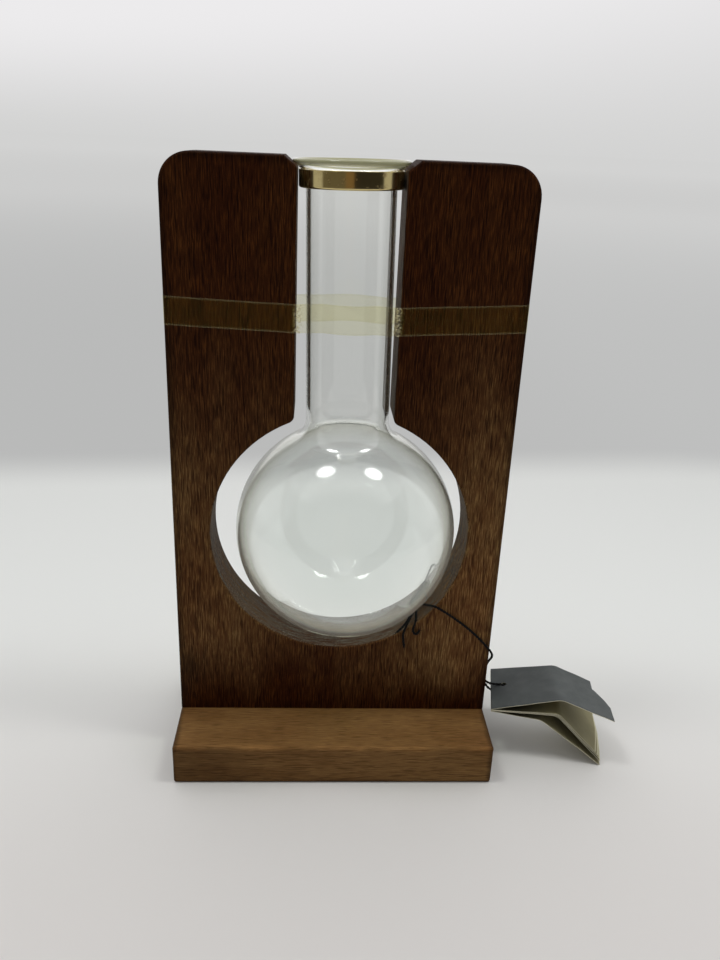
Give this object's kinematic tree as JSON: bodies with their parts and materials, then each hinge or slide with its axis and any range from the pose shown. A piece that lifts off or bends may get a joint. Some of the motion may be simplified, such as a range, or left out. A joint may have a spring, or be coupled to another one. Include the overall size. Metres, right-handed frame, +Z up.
{
  "type": "propagation vase",
  "caption": "Clear round glass flask with a brass neck band, hung by its lip in a keyhole-cut wooden board on a base; the flask lifts and draws out forward.",
  "frame": {"origin": "on the ground under the middle of the stand and of the flask", "axes": "+Z up, front towards -Y, +X to the right as seen from the front"},
  "size_m": [0.2168, 0.1028, 0.28],
  "materials": {
    "board_wood": "dark stained open-pored hardwood, satin",
    "base_wood": "brown stained open-pored hardwood, satin",
    "screw_steel": "plated steel",
    "flask_glass": "clear blown glass",
    "band_brass": "polished brass",
    "tape_film": "clear yellowed film",
    "string_cord": "waxed cord",
    "tag_slate": "slate grey card, matt",
    "tag_cream": "cream paper, matt"
  },
  "bodies": {
    "stand": {"upright_board": "board_wood", "base_block": "base_wood", "base_screws": "screw_steel", "tape_wrap": "tape_film", "tag_string": "string_cord", "string_knot": "string_cord", "tag_cover": "tag_slate", "tag_leaf_top": "tag_cream", "tag_leaf_middle": "tag_cream", "tag_leaf_bottom": "tag_cream"},
    "flask": {"flask": "flask_glass", "neck_band": "band_brass", "tape_bridge": "tape_film"}
  },
  "joints": [
    {"name": "flask_draw", "type": "slide", "parent": "stand", "child": "flask", "axis": [0, -0.9578, 0.2873], "range_m": [0, 0.075]}
  ]
}
